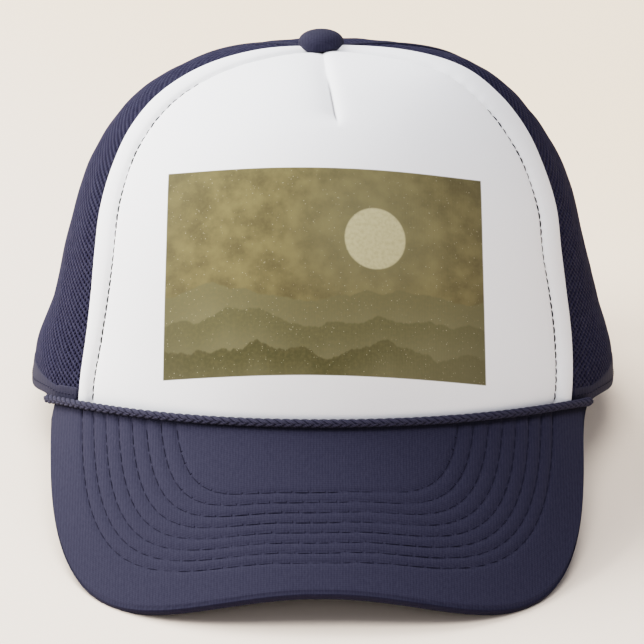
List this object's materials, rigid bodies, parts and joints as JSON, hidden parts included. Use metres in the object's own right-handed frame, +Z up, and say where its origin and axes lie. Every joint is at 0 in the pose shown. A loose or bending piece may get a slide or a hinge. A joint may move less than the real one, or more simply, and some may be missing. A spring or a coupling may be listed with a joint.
{
  "type": "trucker hat",
  "caption": "Trucker hat with a padded foam front, net sides and back, a curved stitched peak, a braided rope along the peak seam, a covered button and an arched back opening with a strap.",
  "frame": {"origin": "middle of the bounding box's bottom, on the floor that the hat rests on", "axes": "+Y from the peak towards the back of the hat, +Z up, +X to the viewer's right as the hat is seen from the front"},
  "size_m": [0.1938, 0.2435, 0.1356],
  "materials": {
    "foam_white": "matte foam-backed cloth",
    "net_navy": "matte knitted net",
    "twill_navy": "matte twill cloth",
    "cord_navy": "matte braided cord",
    "strap_navy": "satin moulded plastic"
  },
  "bodies": {
    "root": {"front_panel": "foam_white", "mesh_front_left": "net_navy", "mesh_front_right": "net_navy", "mesh_back_left": "net_navy", "mesh_back_right": "net_navy", "hem_left": "twill_navy", "hem_right": "twill_navy", "arch_binding": "twill_navy", "snap_strap": "strap_navy", "sweatband": "twill_navy", "peak": "twill_navy", "rope_braid": "cord_navy", "top_button": "twill_navy"}
  },
  "joints": []
}
